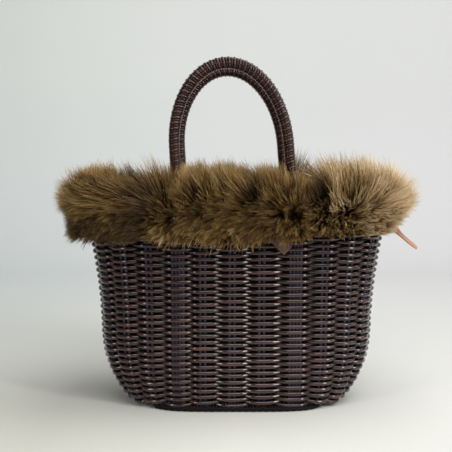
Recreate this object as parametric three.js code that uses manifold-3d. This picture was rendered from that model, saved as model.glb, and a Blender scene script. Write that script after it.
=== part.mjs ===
// A woven basket bag with a fur-trimmed rim and two wrapped arch handles.
// Millimetres, +Z up, +X to the right, the front faces -Y. The origin is on the floor under the middle.
import * as THREE from 'three';
import { mergeVertices } from 'three/addons/utils/BufferGeometryUtils.js';
import Module from 'manifold-3d';

const wasm = await Module();
wasm.setup();

// Basket body: outer sizes at the rim, the belly and the foot
const rimWidth = 314;
const rimDepth = 144;
const bellyWidth = 278;
const bellyDepth = 134;
const footWidth = 214;
const footDepth = 131;
const wallHeight = 200;
const footRise = 75;
const footPower = 2.3;
const flareStart = 60;
const flarePower = 2;
const cornerPower = 3.1;

// Weave: the wall's thickness and the stakes that run inside it
const wallThickness = 9;
const stakeThickness = 2.8;
const stakeGroupWidth = 8;
const handleGroupWidth = 13;
const web = 1.5;
const legColumnArc = 58;
const bottomClearance = 2.5;
const baseThickness = 8;
const baseStickCount = 5;
const baseStickWidth = 5;
const baseStickPitch = 20;
const baseStickInset = 6;
const borderHeight = 10;
const borderShoulder = 3;

// Handles: a bundle of rods with a strand wound round it
const handleTop = 349;
const springHeight = 261;
const springHalfSpan = 55.5;
const crownShift = 9;
const crownShiftPower = 0.57;
const handleLean = 4.2;
const coreRadius = 3.8;
const wrapRadius = 5.75;
const wrapGroove = 0.6;
const wrapPitch = 5.4;
const wrapLift = 0.5;

// Fur trim: four pelts folded over the rim
const skinThickness = 1.2;
const skinOuterDrop = 26;
const skinInnerDrop = 12;
const frontSeamArcs = [-80, 68];
const rearPeltArc = 72;
const seamGap = 0.6;
const furReach = 25;
const furLeftReach = 26;
const furInnerReach = 15.5;
const furTop = 239;
const furBottom = 168;
const furRightBottom = 175;
const legNotchInner = 12.5;
const legNotchOuter = 7;
const legRoom = 4.6;
const bellyDrop = 7;

// Leather ties: arcs along the belly, and drops below the wall's top, at the hidden end and the free end
const tieWidth = 11;
const tieThickness = 1.5;
const frontTieArcs = [27.5, 48.5];
const frontTieDrops = [14.5, 38.5];
const rightTieInset = 8;
const rightTieDrops = [4, 44];
const rightTieReach = 28;

// Fits
const clearance = 0.3;
const snug = 0.4;
const overrun = 1;

const stakeCount = 26;
const legColumnNumber = 2;
const frontColumnCount = 3;
const deg = Math.PI / 180;
const ringPointCount = 8;
const ringStep = (360 / ringPointCount) * deg;

const strandMaterial = { color: 0x2e1d19, roughness: 0.38, metalness: 0 };
const stakeMaterial = { color: 0x1e1d2e, roughness: 0.45, metalness: 0 };
const wrapMaterial = { color: 0x33201b, roughness: 0.35, metalness: 0 };
const rodMaterial = { color: 0x5a3f2a, roughness: 0.6, metalness: 0 };
const furMaterial = { color: 0x6f5a38, roughness: 0.95, metalness: 0 };
const skinMaterial = { color: 0x4e3a29, roughness: 0.85, metalness: 0 };
const tieMaterial = { color: 0xa9784f, roughness: 0.7, metalness: 0 };

const bag = new THREE.Group();

function add(name, geometry, look) {
  const mesh = new THREE.Mesh(geometry, new THREE.MeshStandardMaterial(look));
  mesh.name = name;
  bag.add(mesh);
  return mesh;
}

// Half of the outer width or depth at a height: the foot curves in and the rim flares out
function halfSize(z, foot, belly, rim) {
  const low = Math.max(0, 1 - z / footRise);
  const high = Math.max(0, (Math.min(z, wallHeight) - flareStart) / (wallHeight - flareStart));
  return (belly - (belly - foot) * low ** footPower + (rim - belly) * high ** flarePower) / 2;
}

// The wall's thickness measured level, which grows where the wall slopes
function levelThickness(z) {
  const low = Math.max(0, 1 - z / footRise);
  const inset = (bellyWidth - footWidth + bellyDepth - footDepth) / 4;
  const slope = (inset * footPower * low ** (footPower - 1)) / footRise;
  return wallThickness * Math.sqrt(1 + slope * slope);
}

// A quarter of the outline at a height, from the front middle to the right end, with its arc length
const quarterStepCount = 160;
const quarters = new Map();

function quarter(z) {
  const level = Math.min(z, wallHeight);
  if (!quarters.has(level)) {
    const a = halfSize(level, footWidth, bellyWidth, rimWidth);
    const b = halfSize(level, footDepth, bellyDepth, rimDepth);
    const points = [];
    const arcs = [0];
    for (let i = 0; i <= quarterStepCount; i++) {
      const turn = (i / quarterStepCount) * 90 * deg;
      const [s, c] = [Math.sin(turn), Math.cos(turn)];
      const reach = (s ** cornerPower + c ** cornerPower) ** (-1 / cornerPower);
      points.push([a * reach * s, b * reach * c]);
      if (i > 0) {
        const step = Math.hypot(points[i][0] - points[i - 1][0], points[i][1] - points[i - 1][1]);
        arcs.push(arcs[i - 1] + step);
      }
    }
    quarters.set(level, { a, b, points, arcs, length: arcs[quarterStepCount] });
  }
  return quarters.get(level);
}

const bellyQuarter = quarter(footRise).length;

// A place on the wall: arc is measured along the belly from the front middle, out is past the outer face.
// The columns near the middle stay nearly upright, and the corners take up the foot's and the rim's change.
function place(arc, z, out = 0) {
  const half = 2 * bellyQuarter;
  const wrapped = ((((arc + half) % (2 * half)) + 2 * half) % (2 * half)) - half;
  const rear = Math.abs(wrapped) > bellyQuarter;
  const along = rear ? half - Math.abs(wrapped) : Math.abs(wrapped);
  const { a, b, points, arcs, length } = quarter(z);
  const share = Math.min(1, (2 * along) / bellyQuarter) ** 2;
  const target = along * (1 + (length / bellyQuarter - 1) * share);
  let i = 1;
  while (i < quarterStepCount && arcs[i] < target) {
    i++;
  }
  const mix = Math.min(1, (target - arcs[i - 1]) / (arcs[i] - arcs[i - 1]));
  const x = points[i - 1][0] + mix * (points[i][0] - points[i - 1][0]);
  const y = points[i - 1][1] + mix * (points[i][1] - points[i - 1][1]);
  const normal = new THREE.Vector2((x / a) ** (cornerPower - 1) / a, (y / b) ** (cornerPower - 1) / b);
  normal.normalize();
  const side = wrapped < 0 ? -1 : 1;
  const face = rear ? 1 : -1;
  const outward = new THREE.Vector3(side * normal.x, face * normal.y, 0);
  const point = new THREE.Vector3(side * x, face * y, z).addScaledVector(outward, out);
  return { point, outward, along: new THREE.Vector3(-outward.y, outward.x, 0) };
}

// Levels of the wall: close together in the foot's curve, with one at the pelts' lower edge
const skinBottom = wallHeight - skinOuterDrop;
const levels = [0, 1, 2, 3, 4, 5].map((i) => footRise * (i / 5) ** 1.5);
levels.push((footRise + skinBottom) / 2, skinBottom, wallHeight);

// Belly arcs of the stake groups on the right half, from the front middle
const stakePitch = legColumnArc / legColumnNumber;
const cornerPitch = (bellyQuarter - frontColumnCount * stakePitch) / (stakeCount / 4 - frontColumnCount);
const columnArcs = [];
for (let i = 0; i < stakeCount; i++) {
  const turn = i <= stakeCount / 2 ? i : i - stakeCount;
  const step = Math.abs(turn);
  const fromRear = stakeCount / 2 - step;
  const near = Math.min(step, fromRear);
  const pastFront = Math.max(0, near - frontColumnCount);
  const arc = (near - pastFront) * stakePitch + pastFront * cornerPitch;
  columnArcs.push(Math.sign(turn || 1) * (step === near ? arc : 2 * bellyQuarter - arc));
}
const isLeg = (arc) => {
  const along = Math.min(Math.abs(arc), 2 * bellyQuarter - Math.abs(arc));
  return Math.abs(along - legColumnArc) < stakePitch / 4;
};

function signedVolume(geometry) {
  const position = geometry.getAttribute('position');
  const index = geometry.getIndex().array;
  const [a, b, c] = [new THREE.Vector3(), new THREE.Vector3(), new THREE.Vector3()];
  let sum = 0;
  for (let i = 0; i < index.length; i += 3) {
    a.fromBufferAttribute(position, index[i]);
    b.fromBufferAttribute(position, index[i + 1]);
    c.fromBufferAttribute(position, index[i + 2]);
    sum += a.dot(b.cross(c)) / 6;
  }
  return sum;
}

function closedBody(points, faces) {
  const geometry = new THREE.BufferGeometry();
  geometry.setAttribute('position', new THREE.Float32BufferAttribute(points.flatMap((p) => p.toArray()), 3));
  geometry.setIndex(faces);
  if (signedVolume(geometry) < 0) {
    geometry.setIndex(faces.map((_, i) => faces[i - (i % 3) + [0, 2, 1][i % 3]]));
  }
  geometry.computeVertexNormals();
  return geometry;
}

// The flat cap over a ring and the holes in it, as triangles that number the rings' points in order
function capFaces(rings) {
  const outline = rings[0];
  const normal = new THREE.Vector3();
  outline.forEach((p, i) => normal.add(p.clone().cross(outline[(i + 1) % outline.length])));
  normal.normalize();
  const u = outline[1].clone().sub(outline[0]).normalize();
  const v = normal.clone().cross(u);
  const flat = rings.map((ring) => ring.map((p) => new THREE.Vector2(p.dot(u), p.dot(v))));
  return THREE.ShapeUtils.triangulateShape(flat[0], flat.slice(1));
}

// Joins sections into one closed body.
// A section is a list of rings: its outline, then its holes turned the other way.
function loft(sections) {
  const sizes = sections[0].map((ring) => ring.length);
  const perSection = sizes.reduce((sum, n) => sum + n, 0);
  const points = sections.flatMap((section) => section.flat());
  const faces = [];
  for (let k = 0; k + 1 < sections.length; k++) {
    let first = k * perSection;
    for (const n of sizes) {
      for (let i = 0; i < n; i++) {
        const [p, q] = [first + i, first + ((i + 1) % n)];
        faces.push(p, q, q + perSection, p, q + perSection, p + perSection);
      }
      first += n;
    }
  }
  const last = (sections.length - 1) * perSection;
  for (const [a, b, c] of capFaces(sections[0])) {
    faces.push(a, c, b);
  }
  for (const [a, b, c] of capFaces(sections[sections.length - 1])) {
    faces.push(last + a, last + b, last + c);
  }
  return closedBody(points, faces);
}

function toSolid(geometry) {
  const bare = geometry.clone();
  bare.deleteAttribute('normal');
  bare.deleteAttribute('uv');
  const merged = mergeVertices(bare, 1e-4);
  const vertProperties = new Float32Array(merged.getAttribute('position').array);
  const triVerts = new Uint32Array(merged.getIndex().array);
  return new wasm.Manifold(new wasm.Mesh({ numProp: 3, vertProperties, triVerts }));
}

function cutFrom(geometry, cutters) {
  let solid = toSolid(geometry);
  for (const cutter of cutters) {
    solid = solid.subtract(toSolid(cutter));
  }
  const mesh = solid.getMesh();
  const result = new THREE.BufferGeometry();
  result.setAttribute('position', new THREE.Float32BufferAttribute(mesh.vertProperties, 3));
  result.setIndex(Array.from(mesh.triVerts));
  result.computeVertexNormals();
  return result;
}

// Arcs of the wall's facets: on each stake group and halfway to the next
const wallArcs = [];
columnArcs.forEach((arc, i) => {
  const next = columnArcs[(i + 1) % stakeCount];
  const gap = (next - arc + 4 * bellyQuarter) % (4 * bellyQuarter);
  wallArcs.push(arc, arc + gap / 2);
});

// The mid-line of the wall at a height
function wallMiddle(arc, z) {
  return place(arc, z, -levelThickness(Math.min(z, wallHeight)) / 2);
}

// A band's section in the wall, with a point on each narrow edge
function bandRing(arc, z, width, thickness) {
  const { point, outward, along } = wallMiddle(arc, z);
  const depth = (thickness * levelThickness(z)) / wallThickness / 2;
  const corner = (w, d) => point.clone().addScaledVector(along, w).addScaledVector(outward, d);
  const flat = width / 2 - thickness / 3;
  return [
    corner(flat, depth), corner(width / 2, 0), corner(flat, -depth),
    corner(-flat, -depth), corner(-width / 2, 0), corner(-flat, depth),
  ];
}

function slotRing(arc, z, width) {
  const { point, outward, along } = wallMiddle(arc, z);
  const depth = ((stakeThickness + 2 * clearance) * levelThickness(z)) / wallThickness / 2;
  const half = width / 2 + clearance;
  const corner = (w, d) => point.clone().addScaledVector(along, w).addScaledVector(outward, d);
  return [corner(-half, depth), corner(-half, -depth), corner(half, -depth), corner(half, depth)];
}

// A stake group's width at a height: the stakes close up where a small foot crowds the columns
function groupWidth(arc, z) {
  const full = (each) => (isLeg(each) ? handleGroupWidth : stakeGroupWidth);
  const i = columnArcs.indexOf(arc);
  const here = wallMiddle(arc, z).point;
  const shares = [i + 1, i + stakeCount - 1].map((k) => {
    const next = columnArcs[k % stakeCount];
    const room = here.distanceTo(wallMiddle(next, z).point) - web - 2 * clearance;
    return (2 * room) / (full(arc) + full(next));
  });
  return full(arc) * Math.min(1, ...shares);
}

// Woven wall: a shell with an open top, and a channel from top to bottom for each stake group
const wallSections = levels.map((z) => {
  const outer = wallArcs.map((arc) => place(arc, z).point);
  const inner = wallArcs.map((arc) => place(arc, z, -levelThickness(z)).point).reverse();
  return [outer, inner, ...columnArcs.map((arc) => slotRing(arc, z, groupWidth(arc, z)))];
});
add('wall_weave', loft(wallSections), strandMaterial);

// Stake groups: flat bands of thin stakes side by side, standing in the wall's channels
const stakeLevels = [bottomClearance, ...levels.slice(1)];
let stakeNumber = 0;
for (const arc of columnArcs.filter((each) => !isLeg(each))) {
  stakeNumber += 1;
  const sections = stakeLevels.map((z) => [bandRing(arc, z, groupWidth(arc, z), stakeThickness)]);
  add(`stake_group_${String(stakeNumber).padStart(2, '0')}`, loft(sections), stakeMaterial);
}

// Handle roots: the handles' rods spread flat in the wall, and gather to a round bundle at the rim
const borderTop = wallHeight + clearance + borderHeight;
const skinTop = borderTop + clearance + skinThickness;
const pivotHeight = skinTop + coreRadius + clearance;
const rootTop = pivotHeight - coreRadius - clearance;

function bundleRing(centre, outward, along, radius) {
  return Array.from({ length: ringPointCount }, (_, i) => {
    const turn = (i + 0.5) * ringStep;
    return centre
      .clone()
      .addScaledVector(along, radius * Math.cos(turn))
      .addScaledVector(outward, radius * Math.sin(turn));
  }).reverse();
}

function rootBandRing(arc, z, grow) {
  const { point, outward, along } = wallMiddle(arc, z);
  const stretch = levelThickness(z) / wallThickness;
  const [w, d] = [groupWidth(arc, z) / 2 + grow, stakeThickness / 2 + grow];
  return Array.from({ length: ringPointCount }, (_, i) => {
    const turn = (i + 0.5) * ringStep;
    const [c, s] = [Math.cos(turn), Math.sin(turn)];
    const across = Math.abs(c) > Math.abs(s) ? w * Math.sign(c) : (w - stakeThickness / 2) * Math.sign(c);
    const deep = Math.abs(c) > Math.abs(s) ? (d / 2) * Math.sign(s) : d * Math.sign(s);
    return point.clone().addScaledVector(along, across).addScaledVector(outward, deep * stretch);
  }).reverse();
}

function rootSections(arc, grow, top, zs) {
  const { point, outward, along } = wallMiddle(arc, wallHeight);
  const round = (z) => bundleRing(point.clone().setZ(z), outward, along, coreRadius + grow);
  const bands = zs.map((z) => [rootBandRing(arc, z, grow)]);
  return [...bands, [round(wallHeight + borderHeight / 2)], [round(top)]];
}

const legs = [
  { name: 'front_left_handle_root', arc: -legColumnArc },
  { name: 'front_right_handle_root', arc: legColumnArc },
  { name: 'rear_left_handle_root', arc: -2 * bellyQuarter + legColumnArc },
  { name: 'rear_right_handle_root', arc: 2 * bellyQuarter - legColumnArc },
];
for (const leg of legs) {
  add(leg.name, loft(rootSections(leg.arc, 0, rootTop, stakeLevels)), rodMaterial);
}
const rootCutters = legs.map((leg) => {
  return loft(rootSections(leg.arc, snug, skinTop + overrun, [wallHeight - overrun, wallHeight]));
});

// Rim border: a rounded ring on top of the wall, pierced by the handle roots
const borderLow = wallHeight + clearance;
const borderShape = [
  [0.6, 0], [1, 0.45], [0.55, 1], [-0.55, 1], [-1, 0.45], [-0.6, 0],
];
const borderSections = wallArcs.map((arc) => {
  const { point, outward } = wallMiddle(arc, wallHeight);
  return borderShape.map(([across, up]) => {
    const spot = point.clone().addScaledVector(outward, (across * wallThickness) / 2);
    return spot.setZ(borderLow + up * borderHeight);
  });
});

function ringBody(sections) {
  const n = sections[0].length;
  const faces = [];
  sections.forEach((_, k) => {
    const [here, there] = [k * n, ((k + 1) % sections.length) * n];
    for (let i = 0; i < n; i++) {
      const j = (i + 1) % n;
      faces.push(here + i, here + j, there + j, here + i, there + j, there + i);
    }
  });
  return closedBody(sections.flat(), faces);
}

add('rim_border', cutFrom(ringBody(borderSections), rootCutters), strandMaterial);

// Base: a woven panel inside the wall's foot, over sticks that run the long way
function baseRing(z) {
  return wallArcs.map((arc) => place(arc, z, -levelThickness(z) - snug).point);
}
const stickHeight = baseThickness / 2;

function stickAt(i, grow) {
  const y = (i - (baseStickCount - 1) / 2) * baseStickPitch;
  const edge = (Math.abs(y) + baseStickWidth / 2) / (footDepth / 2 - levelThickness(0));
  const reach = (1 - edge ** cornerPower) ** (1 / cornerPower);
  const half = reach * (footWidth / 2 - levelThickness(0)) - baseStickInset;
  const length = 2 * (grow > 0 ? footWidth / 2 : half);
  const box = new THREE.BoxGeometry(length, baseStickWidth + 2 * grow, stakeThickness + 2 * grow);
  box.translate(0, y, stickHeight);
  return box;
}

const baseSections = [0, levels[1], baseThickness].map((z) => [baseRing(z)]);
const stickNumbers = Array.from({ length: baseStickCount }, (_, i) => i);
const stickCutters = stickNumbers.map((i) => stickAt(i, clearance));
add('base_weave', cutFrom(loft(baseSections), stickCutters), strandMaterial);
for (const i of stickNumbers) {
  add(`base_stick_${i + 1}`, stickAt(i, 0), stakeMaterial);
}

// Handle arch: flared legs up to the spring height, then half an ellipse over the crown
const crownHeight = handleTop - wrapRadius;

function archPath(side) {
  const foot = wallMiddle(legColumnArc, wallHeight).point;
  const lean = Math.tan(handleLean * deg);
  const at = (x, z) => {
    const rise = z - pivotHeight;
    const shift = crownShift * (rise / (crownHeight - pivotHeight)) ** crownShiftPower;
    return new THREE.Vector3(x - shift, side * (Math.abs(foot.y) - rise * lean), z);
  };
  const points = [];
  const legStepCount = 12;
  const crownStepCount = 48;
  for (let i = 0; i <= legStepCount; i++) {
    const drop = 1 - i / legStepCount;
    const x = springHalfSpan + (foot.x - springHalfSpan) * drop * drop;
    points.push(at(-x, springHeight - drop * (springHeight - pivotHeight)));
  }
  for (let i = 1; i < crownStepCount; i++) {
    const turn = (i / crownStepCount) * 180 * deg;
    const rise = (crownHeight - springHeight) * Math.sin(turn);
    points.push(at(-springHalfSpan * Math.cos(turn), springHeight + rise));
  }
  for (let i = legStepCount; i >= 0; i--) {
    const drop = 1 - i / legStepCount;
    const x = springHalfSpan + (foot.x - springHalfSpan) * drop * drop;
    points.push(at(x, springHeight - drop * (springHeight - pivotHeight)));
  }
  const flatNormal = new THREE.Vector3(0, Math.cos(handleLean * deg), side * Math.sin(handleLean * deg));
  return { curve: new THREE.CatmullRomCurve3(points, false, 'centripetal'), flatNormal };
}

// A ring of eight points round the arch, at a share of its length
function archRing(path, share, radiusAt) {
  const centre = path.curve.getPointAt(share);
  const tangent = path.curve.getTangentAt(share);
  const across = tangent.clone().cross(path.flatNormal).normalize();
  return Array.from({ length: ringPointCount }, (_, i) => {
    const turn = (i + 0.5) * ringStep;
    const radius = radiusAt(turn);
    return centre
      .clone()
      .addScaledVector(path.flatNormal, radius * Math.cos(turn))
      .addScaledVector(across, radius * Math.sin(turn));
  });
}

const archStationCount = 26;

// The core's lower ends are rounded about the pivot, so that they turn on the roots
function coreBody(path) {
  const sections = [];
  for (let i = 0; i <= archStationCount; i++) {
    sections.push(archRing(path, i / archStationCount, () => coreRadius));
  }
  const dome = (share, direction) =>
    [80, 55, 28].map((turn) => {
      const reach = direction * coreRadius * Math.sin(turn * deg);
      const axis = path.curve.getTangentAt(share).multiplyScalar(reach);
      return archRing(path, share, () => coreRadius * Math.cos(turn * deg)).map((p) => p.add(axis));
    });
  return loft([...dome(0, -1), ...sections, ...dome(1, 1).reverse()].map((ring) => [ring]));
}

// The wound strand: a sleeve with one ridge a turn, which climbs round the handle without a break
function wrapBody(path) {
  const length = path.curve.getLength();
  const end = wrapLift / length;
  const plain = (2 * wrapRadius) / length;
  const turns = Math.floor(((1 - 2 * end - 2 * plain) * length) / wrapPitch);
  const outer = [archRing(path, end, () => wrapRadius)];
  for (let i = 0; i <= 2 * turns; i++) {
    const share = end + plain + ((1 - 2 * end - 2 * plain) * i) / (2 * turns);
    const ridge = (turn) => wrapRadius - wrapGroove * (0.5 - 0.5 * Math.cos(Math.PI * i - turn));
    outer.push(archRing(path, share, ridge));
  }
  outer.push(archRing(path, 1 - end, () => wrapRadius));
  const bore = coreRadius / Math.cos(ringStep / 2) + clearance;
  const inner = [archRing(path, end, () => bore)];
  for (let i = 1; i < archStationCount; i++) {
    inner.push(archRing(path, i / archStationCount, () => bore));
  }
  inner.push(archRing(path, 1 - end, () => bore));
  const points = [...outer, ...inner].flat();
  const faces = [];
  const n = ringPointCount;
  const join = (p, q, flip) => {
    for (let i = 0; i < n; i++) {
      const j = (i + 1) % n;
      const [a, b] = flip ? [j, i] : [i, j];
      faces.push(p + a, p + b, q + b, p + a, q + b, q + a);
    }
  };
  outer.slice(1).forEach((_, k) => join(n * k, n * (k + 1), false));
  const first = n * outer.length;
  inner.slice(1).forEach((_, k) => join(first + n * k, first + n * (k + 1), true));
  join(first, 0, false);
  join(n * (outer.length - 1), first + n * (inner.length - 1), false);
  return closedBody(points, faces);
}

for (const [name, side] of [['front', -1], ['rear', 1]]) {
  const path = archPath(side);
  add(`${name}_handle_core`, coreBody(path), rodMaterial);
  add(`${name}_handle_wrap`, wrapBody(path), wrapMaterial);
}

// Fur trim. A section is drawn as [distance past the wall's outer face, height].
const skinOut = snug + skinThickness;
const skinIn = -wallThickness - snug - skinThickness;
const skinShape = [
  [snug, skinBottom],
  [snug, wallHeight],
  [snug, borderTop - borderShoulder],
  [-wallThickness * 0.2, borderTop + clearance],
  [-wallThickness * 0.8, borderTop + clearance],
  [-wallThickness - snug, borderTop - borderShoulder],
  [-wallThickness - snug, wallHeight],
  [-wallThickness - snug, wallHeight - skinInnerDrop],
  [skinIn, wallHeight - skinInnerDrop],
  [skinIn, wallHeight],
  [skinIn, borderTop - borderShoulder + skinThickness / 2],
  [-wallThickness * 0.85, skinTop],
  [-wallThickness * 0.15, skinTop],
  [skinOut, borderTop - borderShoulder + skinThickness / 2],
  [skinOut, wallHeight],
  [skinOut, skinBottom],
];

// The fur's section: an outer lobe, a crown over the rim and a short inner lobe.
// Its heights are shares of the drop to its lowest edge and of the rise to its top.
function furShape(bottom, reach) {
  const [lip, inLip] = [skinOut + snug, skinIn - snug];
  const middle = wallHeight - bellyDrop;
  const up = (share) => wallHeight + share * (furTop - wallHeight);
  return [
    [lip, skinBottom],
    [reach * 0.45, bottom],
    [reach * 0.86, bottom + 0.3 * (middle - bottom)],
    [reach, middle],
    [reach * 0.94, up(0.42)],
    [reach * 0.6, up(0.78)],
    [reach * 0.1, furTop],
    [-wallThickness, up(0.98)],
    [-wallThickness - furInnerReach * 0.76, up(0.66)],
    [-wallThickness - furInnerReach, up(0.3)],
    [-wallThickness - furInnerReach * 0.9, wallHeight],
    [inLip - furInnerReach * 0.2, wallHeight - skinInnerDrop * 0.9],
    [inLip, wallHeight - skinInnerDrop * 0.75],
    [inLip, wallHeight],
    [inLip, borderTop - borderShoulder + skinThickness / 2],
    [-wallThickness * 0.85, skinTop + snug],
    [-wallThickness * 0.15, skinTop + snug],
    [lip, borderTop - borderShoulder + skinThickness / 2],
    [lip, wallHeight],
  ];
}

// What is cut from the fur at a handle leg: all that lies inside the leg's outer face
const legFace = wrapRadius - wallThickness / 2;
const notchShape = [
  [-3 * furReach, skinBottom],
  [skinOut / 2, skinBottom],
  [skinOut + snug, skinTop - 2 * overrun],
  [legFace + legRoom, furTop + overrun],
  [-3 * furReach, furTop + overrun],
];

// A place over the wall's flat facets, between two of their edges
function placeOnFacet(arc, z, out) {
  const fullTurn = 4 * bellyQuarter;
  const found = wallArcs.findIndex((edge, i) => {
    const step = wallArcs[(i + 1) % wallArcs.length] - edge;
    return ((arc - edge) % fullTurn + fullTurn) % fullTurn < (step + fullTurn) % fullTurn;
  });
  const [from, to] = [wallArcs[found], wallArcs[(found + 1) % wallArcs.length]];
  const share = (((arc - from) % fullTurn + fullTurn) % fullTurn) / ((to - from + fullTurn) % fullTurn);
  return place(from, z, out).point.lerp(place(to, z, out).point, share);
}

function peltSections(arcs, shape) {
  return arcs.map((arc) => [shape.map(([out, z]) => placeOnFacet(arc, z, out))]);
}

// Pelts: front and rear ones between the seams, and one round each end. Each follows the wall's facets.
const halfAround = 2 * bellyQuarter;

function stationsBetween(start, end) {
  const candidates = wallArcs.flatMap((arc) => [arc, arc + 2 * halfAround]);
  const inside = candidates.filter((arc) => arc > start + 1 && arc < end - 1);
  return [start, ...inside.sort((a, b) => a - b), end];
}

const [frontLeftSeam, frontRightSeam] = frontSeamArcs;
const rearSeam = halfAround - rearPeltArc;
const pelts = [
  { name: 'front', span: [frontLeftSeam, frontRightSeam], bottom: furBottom, reach: furReach },
  { name: 'right', span: [frontRightSeam + seamGap, rearSeam - seamGap], bottom: furRightBottom, reach: furReach },
  { name: 'rear', span: [rearSeam, halfAround + rearPeltArc], bottom: furBottom, reach: furReach },
  { name: 'left', span: [seamGap - rearSeam, frontLeftSeam - seamGap], bottom: furBottom, reach: furLeftReach },
];
const legNotches = legs.map(({ arc }) => {
  const towardsMiddle = Math.abs(arc) < bellyQuarter ? -Math.sign(arc) : Math.sign(arc);
  const edges = [arc + towardsMiddle * legNotchInner, arc - towardsMiddle * legNotchOuter];
  return loft(peltSections(edges, notchShape));
});

// Ties: flat leather straps that come out from under the fur, each with a square-cut end
function strap([start, end], faceNormal, grow) {
  const direction = end.clone().sub(start).normalize();
  const across = direction.clone().cross(faceNormal).normalize();
  const normal = across.clone().cross(direction).normalize();
  const sections = [start, end].map((point, i) => {
    const centre = point.clone().addScaledVector(direction, i === 0 ? -grow : grow);
    const corner = ([w, t]) =>
      centre
        .clone()
        .addScaledVector(across, w * (tieWidth / 2 + grow))
        .addScaledVector(normal, t * (tieThickness / 2 + grow));
    return [[[1, 1], [-1, 1], [-1, -1], [1, -1]].map(corner)];
  });
  return loft(sections);
}

const tieStand = skinOut + clearance + tieThickness / 2;
const frontTieEnds = frontTieArcs.map((arc, i) => {
  return place(arc, wallHeight - frontTieDrops[i], tieStand + snug).point;
});
const frontTieFace = place(frontTieArcs[0], wallHeight).outward;
const rightTieEnds = [tieStand + tieThickness, rightTieReach].map((out, i) => {
  return place(bellyQuarter - rightTieInset, wallHeight, out).point.setZ(wallHeight - rightTieDrops[i]);
});
const rightTieFace = new THREE.Vector3(0.75, -0.2, 0.62);
const ties = { front: [frontTieEnds, frontTieFace], right: [rightTieEnds, rightTieFace] };

for (const pelt of pelts) {
  const carriesLegs = pelt.name === 'front' || pelt.name === 'rear';
  const stations = stationsBetween(...pelt.span);
  const skin = loft(peltSections(stations, skinShape));
  add(`${pelt.name}_pelt_skin`, carriesLegs ? cutFrom(skin, rootCutters) : skin, skinMaterial);
  const tieRoom = ties[pelt.name] ? [strap(...ties[pelt.name], snug)] : [];
  const cutters = [...(carriesLegs ? legNotches : []), ...tieRoom];
  const fur = loft(peltSections(stations, furShape(pelt.bottom, pelt.reach)));
  add(`${pelt.name}_pelt_fur`, cutters.length > 0 ? cutFrom(fur, cutters) : fur, furMaterial);
}
for (const [name, [ends, face]] of Object.entries(ties)) {
  add(`${name}_tie`, strap(ends, face, 0), tieMaterial);
}

export default bag;
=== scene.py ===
import math

import bpy
import numpy as np
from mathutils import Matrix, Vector
from mathutils.kdtree import KDTree


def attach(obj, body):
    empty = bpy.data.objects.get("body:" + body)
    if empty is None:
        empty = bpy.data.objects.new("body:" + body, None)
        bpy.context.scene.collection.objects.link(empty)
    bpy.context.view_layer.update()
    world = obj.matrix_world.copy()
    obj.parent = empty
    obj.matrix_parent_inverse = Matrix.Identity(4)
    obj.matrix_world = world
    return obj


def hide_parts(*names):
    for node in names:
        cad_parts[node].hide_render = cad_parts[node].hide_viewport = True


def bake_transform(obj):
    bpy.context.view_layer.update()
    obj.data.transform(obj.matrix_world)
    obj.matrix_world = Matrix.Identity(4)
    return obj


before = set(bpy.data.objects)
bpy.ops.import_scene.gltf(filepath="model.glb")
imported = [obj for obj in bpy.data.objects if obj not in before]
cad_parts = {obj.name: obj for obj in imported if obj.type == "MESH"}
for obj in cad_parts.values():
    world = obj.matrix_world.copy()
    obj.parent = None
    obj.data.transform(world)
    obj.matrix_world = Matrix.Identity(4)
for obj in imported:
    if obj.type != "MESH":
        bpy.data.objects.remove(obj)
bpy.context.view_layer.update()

# Wall stakes. Round willow rods, dyed blue-black, stand upright in pairs round the wall. The weave goes over
# them and holds them, so that they show as thin dark bars between its floats.
mm = 0.001
half_rim, half_belly, half_foot = np.array([[157.0, 72.0], [139.0, 67.0], [107.0, 65.5]])
wall_height, foot_rise, foot_power = 200.0, 75.0, 2.3
flare_start, flare_power, corner_power = 60.0, 2.0, 3.1
wall_thickness = 9.0
stake_count, leg_column, front_columns, leg_arc = 26, 2, 3, 58.0
steady_arc, front_shift = 70.0, -4.5
stake_thickness, stake_group_width, stake_rods = 2.8, 7.4, 2
stake_foot, stake_top_gap = 2.5, 1.0


def outline(z):
    """Half width and half depth at each height: the ends curve in to the foot, and the rim flares out."""
    low = np.clip(1 - z / foot_rise, 0, None)[:, None]
    high = np.clip((np.minimum(z, wall_height) - flare_start) / (wall_height - flare_start), 0, None)
    inward = (half_belly - half_foot) * low**foot_power
    return half_belly - inward + (half_rim - half_belly) * high[:, None] ** flare_power


def superellipse(turn, a, b, power=corner_power):
    """Where a rounded rectangle of half sizes a and b is met at a turn from the middle of its long side."""
    s, c = np.sin(turn), np.cos(turn)
    reach = (np.abs(s) ** power + np.abs(c) ** power) ** (-1 / power)
    return a * reach * s, b * reach * c


table_rows, table_steps = 80, 160
table_heights = np.linspace(0, wall_height, table_rows + 1)
table_turns = np.linspace(0, math.pi / 2, table_steps + 1)
quarter_lengths, turn_table = [], []
for a, b in outline(table_heights):
    x, y = superellipse(table_turns, a, b)
    arcs = np.concatenate([[0], np.cumsum(np.hypot(np.diff(x), np.diff(y)))])
    quarter_lengths.append(arcs[-1])
    turn_table.append(np.interp(np.linspace(0, 1, table_steps + 1) * arcs[-1], arcs, table_turns))
turn_table = np.array(turn_table)
belly_quarter = float(np.interp(foot_rise, table_heights, quarter_lengths))


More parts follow.
